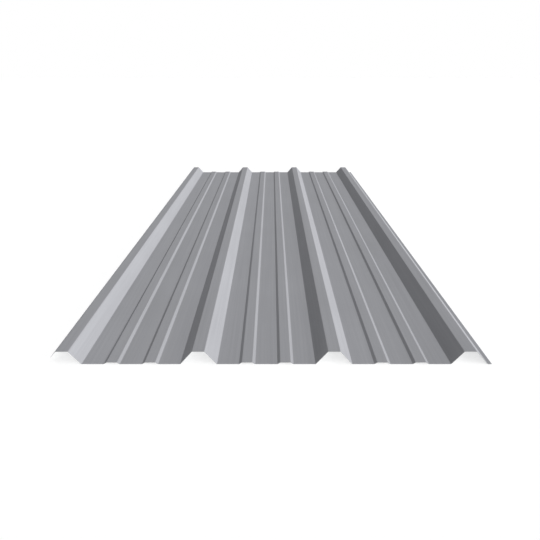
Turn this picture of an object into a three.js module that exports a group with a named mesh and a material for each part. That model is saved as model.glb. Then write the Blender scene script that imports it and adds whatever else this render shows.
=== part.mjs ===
import * as THREE from 'three';

// A ribbed steel sheet for roofs and walls, roll-formed from one flat strip.
// Sizes are in millimetres. The sheet lies on its pans: x runs across the ribs,
// y runs along them and z points up. Widths and heights are those of the
// weather side, measured between the sharp corners that the folds would have.

// The strip that the sheet is rolled from.
const SHEET_LENGTH = 2438.4;
const STEEL_THICKNESS = 0.76;
const INSIDE_BEND_RADIUS = 2.4;

// The high ribs. Their legs slope, so that one sheet nests over the next.
const RIB_COUNT = 4;
const RIB_PITCH = 304.8;
const RIB_HEIGHT = 31.75;
const RIB_CROWN_WIDTH = 28.6;
const RIB_LEG_RUN = 26.8;

// The low stiffening ribs, spread over each flat pan with equal gaps.
const STIFFENERS_PER_PAN = 2;
const STIFFENER_RISE = 3.9;
const STIFFENER_CROWN_WIDTH = 23.8;
const STIFFENER_LEG_RUN = 6.3;

// The two long edges. The first rib's outer leg is cut short, to lap over the
// last rib of the next sheet. The last rib ends in a narrow foot.
const LAP_LIP_DROP = 14.2;
const FOOT_FLANGE_WIDTH = 9.4;

// Each fold is drawn with twice this many flat facets.
const FOLD_SEGMENTS = 3;

// Heights of the weather side, above the underside of the pans.
const PAN_LEVEL = STEEL_THICKNESS;
const CROWN_LEVEL = RIB_HEIGHT;
const STIFFENER_LEVEL = PAN_LEVEL + STIFFENER_RISE;

// The corners of one rib, stiffener or other raised strip, from left to right.
function raisedStrip(centre, crownWidth, legRun, level) {
  const halfCrown = crownWidth / 2;
  const halfFoot = halfCrown + legRun;
  return [
    new THREE.Vector2(centre - halfFoot, PAN_LEVEL),
    new THREE.Vector2(centre - halfCrown, level),
    new THREE.Vector2(centre + halfCrown, level),
    new THREE.Vector2(centre + halfFoot, PAN_LEVEL),
  ];
}

// The stiffeners of the pan that starts at the right foot of the rib at ribCentre.
function stiffenerCorners(ribCentre) {
  const panStart = ribCentre + RIB_CROWN_WIDTH / 2 + RIB_LEG_RUN;
  const panWidth = RIB_PITCH - RIB_CROWN_WIDTH - 2 * RIB_LEG_RUN;
  const stiffenerWidth = STIFFENER_CROWN_WIDTH + 2 * STIFFENER_LEG_RUN;
  const gap = (panWidth - STIFFENERS_PER_PAN * stiffenerWidth) / (STIFFENERS_PER_PAN + 1);
  const corners = [];
  for (let i = 0; i < STIFFENERS_PER_PAN; i++) {
    const centre = panStart + gap + stiffenerWidth / 2 + i * (gap + stiffenerWidth);
    corners.push(...raisedStrip(centre, STIFFENER_CROWN_WIDTH, STIFFENER_LEG_RUN, STIFFENER_LEVEL));
  }
  return corners;
}

// The weather side of the section as a line of corners, from the lap lip to the
// foot flange. The first rib's centre is at x = 0.
function weatherSide() {
  const corners = [];
  for (let i = 0; i < RIB_COUNT; i++) {
    const ribCentre = i * RIB_PITCH;
    corners.push(...raisedStrip(ribCentre, RIB_CROWN_WIDTH, RIB_LEG_RUN, CROWN_LEVEL));
    if (i < RIB_COUNT - 1) {
      corners.push(...stiffenerCorners(ribCentre));
    }
  }
  const [outerFoot, outerCrown] = corners;
  const lipShare = LAP_LIP_DROP / (outerCrown.y - outerFoot.y);
  corners[0] = outerCrown.clone().lerp(outerFoot, lipShare);
  const lastFoot = corners[corners.length - 1];
  corners.push(new THREE.Vector2(lastFoot.x + FOOT_FLANGE_WIDTH, lastFoot.y));
  return corners;
}

// The fold at one corner. A fold that turns down has its centre under the sheet,
// and one that turns up has it above. Both faces share the centre, so the sheet
// keeps its thickness round the fold.
function foldAt(before, corner, after) {
  const inward = corner.clone().sub(before).normalize();
  const outward = after.clone().sub(corner).normalize();
  const turn = inward.cross(outward);
  const turnsUp = turn > 0;
  const side = turnsUp ? 1 : -1;
  const topRadius = turnsUp ? INSIDE_BEND_RADIUS : INSIDE_BEND_RADIUS + STEEL_THICKNESS;
  const underRadius = turnsUp ? INSIDE_BEND_RADIUS + STEEL_THICKNESS : INSIDE_BEND_RADIUS;
  const tangentLength = topRadius * Math.tan(Math.asin(Math.abs(turn)) / 2);
  const arcStart = corner.clone().addScaledVector(inward, -tangentLength);
  const inwardNormal = new THREE.Vector2(-inward.y, inward.x);
  const centre = arcStart.addScaledVector(inwardNormal, side * topRadius);
  const firstAngle = inward.angle() - side * Math.PI / 2;
  const lastAngle = firstAngle + Math.asin(turn);
  return { centre, topRadius, underRadius, firstAngle, lastAngle, turnsUp };
}

// The closed outline of the section: along the weather side, over the foot
// flange's edge, back along the underside and round the lip's square-cut edge.
function sectionOutline(corners) {
  const folds = corners.slice(1, -1).map((corner, i) => foldAt(corners[i], corner, corners[i + 2]));
  const lipEdge = corners[0];
  const footEdge = corners[corners.length - 1];
  const lipDirection = corners[1].clone().sub(lipEdge).normalize();
  const outline = new THREE.Shape();
  outline.moveTo(
    lipEdge.x + STEEL_THICKNESS * lipDirection.y,
    lipEdge.y - STEEL_THICKNESS * lipDirection.x,
  );
  outline.lineTo(lipEdge.x, lipEdge.y);
  for (const fold of folds) {
    outline.absarc(
      fold.centre.x, fold.centre.y, fold.topRadius,
      fold.firstAngle, fold.lastAngle, !fold.turnsUp,
    );
  }
  outline.lineTo(footEdge.x, footEdge.y);
  outline.lineTo(footEdge.x, footEdge.y - STEEL_THICKNESS);
  for (const fold of folds.reverse()) {
    outline.absarc(
      fold.centre.x, fold.centre.y, fold.underRadius,
      fold.lastAngle, fold.firstAngle, fold.turnsUp,
    );
  }
  return outline;
}

// The sheet, with its section drawn in x and z and its length along y, centred
// over the origin.
function ribbedSheet() {
  const corners = weatherSide();
  const geometry = new THREE.ExtrudeGeometry(sectionOutline(corners), {
    depth: SHEET_LENGTH,
    bevelEnabled: false,
    curveSegments: FOLD_SEGMENTS,
  });
  const greyPaint = new THREE.MeshStandardMaterial({
    color: 0x96979b,
    roughness: 0.45,
    metalness: 0.3,
  });
  const sheet = new THREE.Mesh(geometry, greyPaint);
  sheet.name = 'ribbed_sheet';
  sheet.rotation.x = Math.PI / 2;
  sheet.position.x = -(corners[0].x + corners[corners.length - 1].x) / 2;
  sheet.position.y = SHEET_LENGTH / 2;
  return sheet;
}

const part = new THREE.Group();
part.add(ribbedSheet());

export default part;
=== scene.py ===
import math

import bmesh
import bpy
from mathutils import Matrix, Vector


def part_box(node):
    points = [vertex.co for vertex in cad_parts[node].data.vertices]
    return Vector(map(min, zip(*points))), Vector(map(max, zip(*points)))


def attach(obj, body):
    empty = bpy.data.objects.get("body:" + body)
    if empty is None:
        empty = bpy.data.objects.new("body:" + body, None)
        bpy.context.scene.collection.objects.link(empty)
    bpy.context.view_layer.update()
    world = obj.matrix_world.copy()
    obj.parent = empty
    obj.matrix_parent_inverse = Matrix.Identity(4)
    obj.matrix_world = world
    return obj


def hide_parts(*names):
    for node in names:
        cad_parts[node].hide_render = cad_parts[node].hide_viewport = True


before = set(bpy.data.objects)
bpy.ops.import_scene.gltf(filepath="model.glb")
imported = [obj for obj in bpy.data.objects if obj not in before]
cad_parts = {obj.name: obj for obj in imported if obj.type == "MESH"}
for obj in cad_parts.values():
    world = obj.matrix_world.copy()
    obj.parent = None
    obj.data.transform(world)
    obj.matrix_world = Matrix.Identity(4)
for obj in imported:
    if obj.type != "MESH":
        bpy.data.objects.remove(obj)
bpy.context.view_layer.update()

# The finish of a ribbed steel roofing sheet: a satin grey coat on the weather side,
# a thin grey wash coat on the reverse, darker than such coats usually are as painted shade
# for the insides of the rib tunnels, and bare metal where the sheet was cut.
# Lengths are in metres. X runs across the ribs, Y along them and Z up.

SHEET_NODE = "ribbed_sheet"

# How the skin is divided and eased.
LENGTH_STEPS = 24
SHARP_TURN = math.radians(60)
SHEARED_EDGE_RADIUS = 0.00012
SHEARED_EDGE_STEPS = 2
LONGEST_FOLD_SIDE = 0.0006
SAME_PLACE = 0.000001
WEATHER_SIDE, REVERSE_SIDE, CUT_EDGE = 0, 1, 2

# The skin's flat pattern, as a unit square: the two faces side by side, then the two long
# edges as narrow strips beside them and the two ends as low strips under them.
# Each patch is (left, bottom, right, top).
PATTERN_NAME = "OFBake"
WEATHER_PATCH = (0.004, 0.040, 0.716, 0.996)
REVERSE_PATCH = (0.728, 0.040, 0.960, 0.996)
FLANGE_EDGE_PATCH = (0.970, 0.040, 0.978, 0.996)
LIP_EDGE_PATCH = (0.986, 0.040, 0.994, 0.996)
NEAR_END_PATCH = (0.004, 0.006, 0.996, 0.014)
FAR_END_PATCH = (0.004, 0.022, 0.996, 0.030)

# The camera, as seen from the middle of the sheet's near end.
IMAGE_SIDE = 540
FOCAL_LENGTH_PIXELS = 571.4
SENSOR_WIDTH = 36.0
CAMERA_BACK = 1.1385
CAMERA_HEIGHT = 0.6345
CAMERA_TILT = math.radians(19.76)
CAMERA_SHIFT_PIXELS = -1.59
LOOKING_LEVEL = math.radians(90)

# The lights. Each level is the share of full white that it gives a facing surface.
DOME_LEVEL = 0.285
OVERHEAD_LEVEL = 0.262
OVERHEAD_ELEVATION = math.radians(58)
OVERHEAD_SPREAD = math.radians(75)
RAKING_LEVEL = 1.547
RAKING_ELEVATION = math.radians(18)
RAKING_SPREAD = math.radians(25)
IN_FRONT = 0.0
ON_THE_RIGHT = math.radians(90)
FLOOR_SIDE = 60.0
FLOOR_COLOUR = (0.86, 0.86, 0.86)
FLOOR_LIFT = 0.16

# The finishes' colours, which are linear. A tone of 0.1 makes a colour a tenth lighter.
GREY_COAT = (0.280, 0.283, 0.300)
# Painted shade: the wash coat is darker than such coats usually are, so that the insides of the
# rib tunnels, which the shadowless raking lamp lights, look shaded.
WASH_COAT_AND_TUNNEL_SHADE = (0.34, 0.345, 0.35)
SHEARED_STEEL = (0.58, 0.585, 0.59)
TONE_RANGE = 0.5

# How finely a pattern is broken up, and how it is drawn out.
PLAIN, SOFT, CRISP = 0.0, 2.0, 3.0
NOISE_MIDDLE = 0.5
ALONG_THE_SHEET = (1.0, 0.012, 1.0)
ALONG_THE_PAN = (1.0, 0.5, 1.0)
ALONG_THE_EDGE = (1.0, 1.0, 0.0)
OVER_THE_EDGE = (1.0, 1.0, 0.0002)

# The grey coat's patterns, in swells to a metre.
STREAKS = 180.0
BANDS = 26.0
CLOUDS = 3.5
GRAIN = 420.0
ORANGE_PEEL = 450.0
PAN_WAVES = 6.0
ROLLER_LINES = 520.0

# How much they and the folds change the grey coat's tone, roughness and height.
STREAK_TONE = 0.20
BAND_TONE = 0.16
CLOUD_TONE = 0.14
GRAIN_TONE = 0.14
FOLD_TONE = 0.04
COAT_ROUGHNESS = 0.75
STREAK_ROUGHNESS = 0.20
CLOUD_ROUGHNESS = 0.16
FOLD_POLISH = 0.05
COAT_SPECULAR = 0.1
PEEL_HEIGHT = 0.000010
PAN_WAVE_HEIGHT = 0.00025
ROLLER_LINE_HEIGHT = 0.000006

# The reverse coat's patterns, in swells to a metre, and how much they change it.
WASH_STREAKS = 140.0
WASH_CLOUDS = 5.0
WASH_PEEL = 500.0
WASH_STREAK_TONE = 0.20
WASH_CLOUD_TONE = 0.16
WASH_ROUGHNESS = 0.66
WASH_STREAK_ROUGHNESS = 0.24
WASH_SPECULAR = 0.2

# The cut metal, where the blade's smooth cut turns into a torn face along a ragged line. Its
# depth runs from 0 on the weather side to 1 on the reverse, and its patterns are in swells
# to a metre.
RAGGED_LINE = 600.0
RAGGED_REACH = 0.5
TORN_FROM = 0.4
TORN_STEEPNESS = 6.0
TEARS = 3500.0
CUT_TONE = 0.1
TORN_TONE = 0.2
TEAR_TONE = 0.4
STEEL_METALLIC = 0.95
CUT_ROUGHNESS = 0.36
TORN_ROUGHNESS = 0.22
TEAR_HEIGHT = 0.00002

# The places of the sockets on a Mix node that mixes colours.
MIX_SHARE, MIX_DARKEST, MIX_LIGHTEST, MIX_RESULT = 0, 6, 7, 2


class Wire:
    """The output of a shader node. Arithmetic on wires adds the Math nodes for it."""

    def __init__(self, finish, socket):
        self.finish = finish
        self.socket = socket

    def math(self, operation, *terms):
        return self.finish.node("Math", {"operation": operation}, dict(enumerate(terms)))

    def __add__(self, other):
        return self.math("ADD", self, other)

    def __radd__(self, other):
        return self.math("ADD", other, self)

    def __sub__(self, other):
        return self.math("SUBTRACT", self, other)

    def __rsub__(self, other):
        return self.math("SUBTRACT", other, self)

    def __mul__(self, other):
        return self.math("MULTIPLY", self, other)

    def __rmul__(self, other):
        return self.math("MULTIPLY", other, self)

    def clamped(self):
        return self.finish.node("Clamp", {}, {"Value": self})

    def beside(self, output):
        """Another output of the same node."""
        return Wire(self.finish, self.socket.node.outputs[output])


class Finish:
    """The node tree of a material or of the world."""

    def __init__(self, owner):
        owner.use_nodes = True
        self.tree = owner.node_tree
        self.tree.nodes.clear()

    def node(self, kind, settings, sockets, output=0):
        """Adds a node, sets it up, fills its sockets and returns one of its outputs."""
        made = self.tree.nodes.new("ShaderNode" + kind)
        for name, value in settings.items():
            setattr(made, name, value)
        for name, value in sockets.items():
            if isinstance(value, Wire):
                self.tree.links.new(value.socket, made.inputs[name])
            else:
                made.inputs[name].default_value = value
        return Wire(self, made.outputs[output]) if made.outputs else None

    def attribute(self, name, output):
        return self.node("Attribute", {"attribute_name": name}, {}, output)

    def stretched(self, place, factors):
        return self.node("VectorMath", {"operation": "MULTIPLY"}, {0: place, 1: factors})

    def drift(self, place, scale, detail=SOFT):
        """Soft noise about 0, seldom over 0.2 from it, with about scale swells to a metre."""
        noise = self.node("TexNoise", {}, {"Vector": place, "Scale": scale, "Detail": detail})
        return noise - NOISE_MIDDLE

    def toned(self, colour, tone):
        """The colour made lighter or darker by tone, within TONE_RANGE of it."""
        sockets = {
            MIX_SHARE: (0.5 + tone * (0.5 / TONE_RANGE)).clamped(),
            MIX_DARKEST: opaque(colour, 1 - TONE_RANGE),
            MIX_LIGHTEST: opaque(colour, 1 + TONE_RANGE),
        }
        return self.node("Mix", {"data_type": "RGBA"}, sockets, MIX_RESULT)

    def relief(self, height):
        """A normal for relief that stands height metres proud."""
        return self.node("Bump", {}, {"Height": height, "Distance": 1.0, "Strength": 1.0})

    def surface(self, shader):
        self.node("OutputMaterial", {}, {"Surface": shader})


def opaque(colour, factor=1.0):
    return tuple(channel * factor for channel in colour) + (1.0,)


def new_material(name):
    material = bpy.data.materials.new(name)
    return material, Finish(material)


# ---------------------------------------------------------------- the finishes


def grey_coat():
    """Satin grey coil coat. The rollers leave faint streaks along the sheet, its pans are not
    quite flat, and the coat is stretched a little paler where the steel is folded."""
    material, f = new_material("grey_coat")
    place = f.attribute("strip_place", "Vector")
    fold = f.attribute("fold", "Fac")
    lengthwise = f.stretched(place, ALONG_THE_SHEET)
    streaks = f.drift(lengthwise, STREAKS, CRISP)
    bands = f.drift(lengthwise, BANDS)
    clouds = f.drift(place, CLOUDS)
    grain = f.drift(place, GRAIN)
    flow = streaks * STREAK_TONE + bands * BAND_TONE + clouds * CLOUD_TONE
    tone = flow + grain * GRAIN_TONE + fold * FOLD_TONE
    roller_lines = f.drift(lengthwise, ROLLER_LINES) * fold
    peel = f.drift(place, ORANGE_PEEL)
    pan_waves = f.drift(f.stretched(place, ALONG_THE_PAN), PAN_WAVES, PLAIN)
    height = peel * PEEL_HEIGHT + pan_waves * PAN_WAVE_HEIGHT + roller_lines * ROLLER_LINE_HEIGHT
    colour = f.toned(GREY_COAT, tone)
    uneven = COAT_ROUGHNESS + streaks * STREAK_ROUGHNESS + clouds * CLOUD_ROUGHNESS
    shader = f.node(
        "BsdfPrincipled",
        {},
        {
            "Base Color": colour,
            "Roughness": uneven - fold * FOLD_POLISH,
            "Specular IOR Level": COAT_SPECULAR,
            "Normal": f.relief(height),
        },
    )
    f.surface(shader)
    return material


def reverse_coat_and_tunnel_shade():
    """The thin grey wash coat on the underside, plainer than the coat on the weather side. Its
    grey
    is darker than such coats usually are: painted shade for the insides of the rib tunnels, which
    the raking lamp lights because it casts no shadow.
    """
    material, f = new_material("reverse_coat_and_tunnel_shade")
    place = f.attribute("strip_place", "Vector")
    lengthwise = f.stretched(place, ALONG_THE_SHEET)
    streaks = f.drift(lengthwise, WASH_STREAKS, CRISP)
    clouds = f.drift(place, WASH_CLOUDS)
    tone = streaks * WASH_STREAK_TONE + clouds * WASH_CLOUD_TONE
    shader = f.node(
        "BsdfPrincipled",
        {},
        {
            "Base Color": f.toned(WASH_COAT_AND_TUNNEL_SHADE, tone),
            "Roughness": WASH_ROUGHNESS + streaks * WASH_STREAK_ROUGHNESS,
            "Specular IOR Level": WASH_SPECULAR,
            "Normal": f.relief(f.drift(place, WASH_PEEL) * PEEL_HEIGHT),
        },
    )
    f.surface(shader)
    return material


def sheared_steel():
    """The metal where the sheet was cut: bright where the blade went in, torn and dull below."""
    material, f = new_material("sheared_steel")
    place = f.attribute("strip_place", "Vector")
    depth = f.node("SeparateXYZ", {}, {0: place}, "Z")
    ragged = f.drift(f.stretched(place, ALONG_THE_EDGE), RAGGED_LINE, CRISP)
    torn = ((depth + ragged * RAGGED_REACH - TORN_FROM) * TORN_STEEPNESS).clamped()
    tearing = f.drift(f.stretched(place, OVER_THE_EDGE), TEARS)
    tone = CUT_TONE - torn * TORN_TONE + tearing * TEAR_TONE
    shader = f.node(
        "BsdfPrincipled",
        {},
        {
            "Base Color": f.toned(SHEARED_STEEL, tone),
            "Metallic": STEEL_METALLIC,
            "Roughness": CUT_ROUGHNESS + torn * TORN_ROUGHNESS,
            "Normal": f.relief(tearing * torn * TEAR_HEIGHT),
        },
    )
    f.surface(shader)
    return material


# ------------------------------------------------------------------- the skin


def end_outline(node):
    """The outline of the sheet's near end in order, as (x, z), from the walls that meet it."""
    solid = bmesh.new()
    solid.from_mesh(node.data)
    bmesh.ops.remove_doubles(solid, verts=solid.verts, dist=SAME_PLACE)
    near = min(corner.co.y for corner in solid.verts)
    at_end = {corner for corner in solid.verts if corner.co.y < near + SAME_PLACE}
    following = {}
    for face in solid.faces:
        if at_end.issuperset(face.verts):
            continue
        for loop in face.loops:
            if loop.vert in at_end and loop.link_loop_next.vert in at_end:
                following[loop.vert] = loop.link_loop_next.vert
    corner = min(following, key=lambda corner: corner.co.x)
    outline = []
    for _ in following:
        outline.append(corner.co.xz)
        corner = following[corner]
    solid.free()
    return outline


def widths_from_lip(sides):
    """How far each outline point lies from the lip, measured along the middle of the steel.
    sides are the lengths from each point to the next."""
    count = len(sides)
    widths = [0.0]
    for i in range(count // 2 - 1):
        widths.append(widths[-1] + (sides[i] + sides[count - 2 - i]) / 2)
    return widths + widths[::-1]


class Walls:
    """The skin's faces, each with the finish it wears and its corners on the flat pattern."""

    def __init__(self):
        self.faces = []
        self.kinds = []
        self.pattern = []

    def add(self, corners, kind, patch, across, up):
        self.faces.append(corners)
        self.kinds.append(kind)
        self.pattern.extend(on_patch(patch, a, u) for a, u in zip(across, up))


def add_sides(walls, across):
    """Adds the two faces and the two long edges, from each level to the next."""
    count = len(across)
    for k in range(LENGTH_STEPS):
        start, further = k * count, (k + 1) * count
        up = [k / LENGTH_STEPS] * 2 + [(k + 1) / LENGTH_STEPS] * 2
        for i in range(count):
            after = (i + 1) % count
            corners = (start + i, start + after, further + after, further + i)
            kind, patch = side_of(i, count // 2)
            here, there = (0, 1) if kind == CUT_EDGE else (across[i], across[after])
            walls.add(corners, kind, patch, (here, there, there, here), up)


def add_ends(walls, across):
    """Adds the two ends, in narrow faces that each span the steel's thickness."""
    count = len(across)
    last = LENGTH_STEPS * count
    up = (1, 1, 0, 0)
    for i in range(count // 2 - 1):
        opposite = count - 1 - i
        near = (i + 1, i, opposite, opposite - 1)
        far = (last + i, last + i + 1, last + opposite - 1, last + opposite)
        here, there = across[i], across[i + 1]
        walls.add(near, CUT_EDGE, NEAR_END_PATCH, (there, here, here, there), up)
        walls.add(far, CUT_EDGE, FAR_END_PATCH, (here, there, there, here), up)


def on_patch(patch, across, up):
    left, bottom, right, top = patch
    return left + (right - left) * across, bottom + (top - bottom) * up


def side_of(i, half):
    """The finish that the wall after outline point i wears, and its patch of the flat pattern."""
    if i == half - 1:
        return CUT_EDGE, FLANGE_EDGE_PATCH
    if i == 2 * half - 1:
        return CUT_EDGE, LIP_EDGE_PATCH
    if i < half:
        return WEATHER_SIDE, WEATHER_PATCH
    return REVERSE_SIDE, REVERSE_PATCH


def flat(rows):
    return [number for row in rows for number in row]


def swept_mesh(node):
    """The sheet's surface, swept along its length from the outline of its end. The outline
    starts at the lip's top corner, so its first half is the weather side and the rest the
    reverse. strip_place is (width from the lip, length, depth in the steel)."""
    outline = end_outline(node)
    count = len(outline)
    half = count // 2
    sides = [(outline[(i + 1) % count] - outline[i]).length for i in range(count)]
    widths = widths_from_lip(sides)
    low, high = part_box(SHEET_NODE)
    levels = [low.y + (high.y - low.y) * k / LENGTH_STEPS for k in range(LENGTH_STEPS + 1)]

    walls = Walls()
    strip_width = max(widths)
    across = [w / strip_width for w in widths]
    add_sides(walls, across)
    add_ends(walls, across)

    mesh = bpy.data.meshes.new("sheet_skin")
    mesh.from_pydata([(p.x, y, p.y) for y in levels for p in outline], [], walls.faces)
    for material in (grey_coat(), reverse_coat_and_tunnel_shade(), sheared_steel()):
        mesh.materials.append(material)
    mesh.polygons.foreach_set("material_index", walls.kinds)
    mesh.shade_smooth()
    mesh.set_sharp_from_angle(angle=SHARP_TURN)
    mesh.uv_layers.new(name=PATTERN_NAME).data.foreach_set("uv", flat(walls.pattern))

    places = [(w, y, float(i >= half)) for y in levels for i, w in enumerate(widths)]
    strip_place = mesh.attributes.new("strip_place", "FLOAT_VECTOR", "POINT")
    strip_place.data.foreach_set("vector", flat(places))
    bends = [float(max(sides[i], sides[i - 1]) < LONGEST_FOLD_SIDE) for i in range(count)]
    fold = mesh.attributes.new("fold", "FLOAT", "POINT")
    fold.data.foreach_set("value", bends * len(levels))
    return mesh


def sheet_skin():
    """The piece that stands for the sheet, with its sheared edges eased."""
    skin = bpy.data.objects.new("sheet_skin", swept_mesh(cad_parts[SHEET_NODE]))
    bpy.context.scene.collection.objects.link(skin)
    ease = skin.modifiers.new("sheared_edges", "BEVEL")
    ease.width = SHEARED_EDGE_RADIUS
    ease.segments = SHEARED_EDGE_STEPS
    ease.limit_method = "ANGLE"
    ease.angle_limit = SHARP_TURN
    ease.harden_normals = True
    weighted = skin.modifiers.new("flat_faces_stay_flat", "WEIGHTED_NORMAL")
    weighted.keep_sharp = True
    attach(skin, "root")
    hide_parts(SHEET_NODE)


# ------------------------------------------------------- floor, lights, camera


def pale_floor():
    """A plain pale floor, lifted to white for the camera and for reflections only, so that it
    keeps the sheet's shadow."""
    mesh = bpy.data.meshes.new("floor")
    reach = FLOOR_SIDE / 2
    corners = [(-reach, -reach, 0), (reach, -reach, 0), (reach, reach, 0), (-reach, reach, 0)]
    mesh.from_pydata(corners, [], [(0, 1, 2, 3)])
    material, f = new_material("pale_floor")
    diffuse = f.node("BsdfDiffuse", {}, {"Color": opaque(FLOOR_COLOUR)})
    lift = f.node("Emission", {}, {"Color": seen(f), "Strength": FLOOR_LIFT})
    f.surface(f.node("AddShader", {}, {0: diffuse, 1: lift}))
    mesh.materials.append(material)
    floor = bpy.data.objects.new("floor", mesh)
    bpy.context.scene.collection.objects.link(floor)


def seen(f):
    """1 for what the camera sees by itself, in a reflection or through glass, and 0 for light."""
    by_itself = f.node("LightPath", {}, {}, "Is Camera Ray")
    reflected = by_itself.beside("Is Glossy Ray")
    through_glass = by_itself.beside("Is Transmission Ray")
    return (by_itself + reflected + through_glass).clamped()


def soft_dome():
    """A white background that lights the sheet only at the dome's level."""
    world = bpy.data.worlds.new("dome")
    bpy.context.scene.world = world
    f = Finish(world)
    level = DOME_LEVEL + seen(f) * (1.0 - DOME_LEVEL)
    background = f.node("Background", {}, {"Color": level})
    f.node("OutputWorld", {}, {"Surface": background})


def soft_lamp(name, level, azimuth, elevation, spread):
    """A broad, far lamp. Its azimuth turns from in front of the sheet to its right. A sun of
    strength pi lights a facing surface at the level of full white."""
    lamp = bpy.data.lights.new(name, "SUN")
    lamp.energy = level * math.pi
    lamp.angle = spread
    made = bpy.data.objects.new(name, lamp)
    towards = Vector((
        math.sin(azimuth) * math.cos(elevation),
        -math.cos(azimuth) * math.cos(elevation),
        math.sin(elevation),
    ))
    made.rotation_euler = towards.to_track_quat("Z", "Y").to_euler()
    bpy.context.scene.collection.objects.link(made)
    return made


def lights():
    """A soft dome, a soft lamp over the near end, and a low one that rakes the ribs from the
    right without any rib shading the next pan."""
    soft_dome()
    soft_lamp("overhead", OVERHEAD_LEVEL, IN_FRONT, OVERHEAD_ELEVATION, OVERHEAD_SPREAD)
    raking = soft_lamp("raking", RAKING_LEVEL, ON_THE_RIGHT, RAKING_ELEVATION, RAKING_SPREAD)
    raking.data.use_shadow = False
    raking.visible_glossy = False


def camera():
    near_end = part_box(SHEET_NODE)[0].y
    data = bpy.data.cameras.new("camera")
    data.sensor_width = SENSOR_WIDTH
    data.lens = FOCAL_LENGTH_PIXELS * SENSOR_WIDTH / IMAGE_SIDE
    data.shift_x = CAMERA_SHIFT_PIXELS / IMAGE_SIDE
    made = bpy.data.objects.new("camera", data)
    made.location = (0.0, near_end - CAMERA_BACK, CAMERA_HEIGHT)
    made.rotation_euler = (LOOKING_LEVEL - CAMERA_TILT, 0.0, 0.0)
    bpy.context.scene.collection.objects.link(made)
    bpy.context.scene.camera = made


sheet_skin()
pale_floor()
lights()
camera()
bpy.context.scene.view_settings.view_transform = "Standard"
